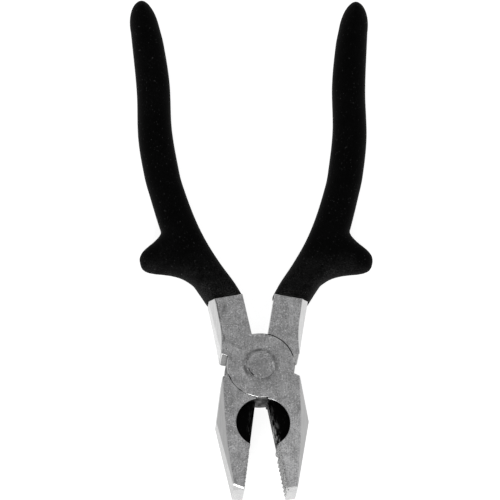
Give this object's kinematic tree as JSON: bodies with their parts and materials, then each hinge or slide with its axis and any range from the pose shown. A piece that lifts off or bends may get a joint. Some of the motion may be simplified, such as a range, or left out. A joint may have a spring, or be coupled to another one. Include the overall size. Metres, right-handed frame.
{
  "type": "combination pliers",
  "caption": "Lap-joint combination pliers with serrated gripping jaws, round side-cutter scoops and black moulded grips with finger guards, standing open.",
  "frame": {"origin": "centre of the rivet's rear end, on the rivet's axis and in the plane of the pliers' rear faces", "axes": "+Z along the rivet's axis towards the front face, +Y from the rivet towards the handles, with the jaws at -Y, and +X to the right seen from the front; the middle line between the two open halves is Y"},
  "size_m": [0.0897, 0.197, 0.0117],
  "materials": {
    "forged_steel": "satin, ground and lightly worn, with dark oxide left in the cutter scoops",
    "rivet_steel": "satin, ground nearly flush",
    "black_pvc": "matte, fine grained"
  },
  "bodies": {
    "rear_half": {"rear_forging": "forged_steel", "pivot_rivet": "rivet_steel", "right_grip": "black_pvc"},
    "front_half": {"front_forging": "forged_steel", "left_grip": "black_pvc"}
  },
  "joints": [
    {"name": "jaw_pivot", "type": "hinge", "parent": "rear_half", "child": "front_half", "pos_m": [0, 0, 0.0058], "axis": [0, 0, 1], "range_deg": [-18, 28]}
  ]
}
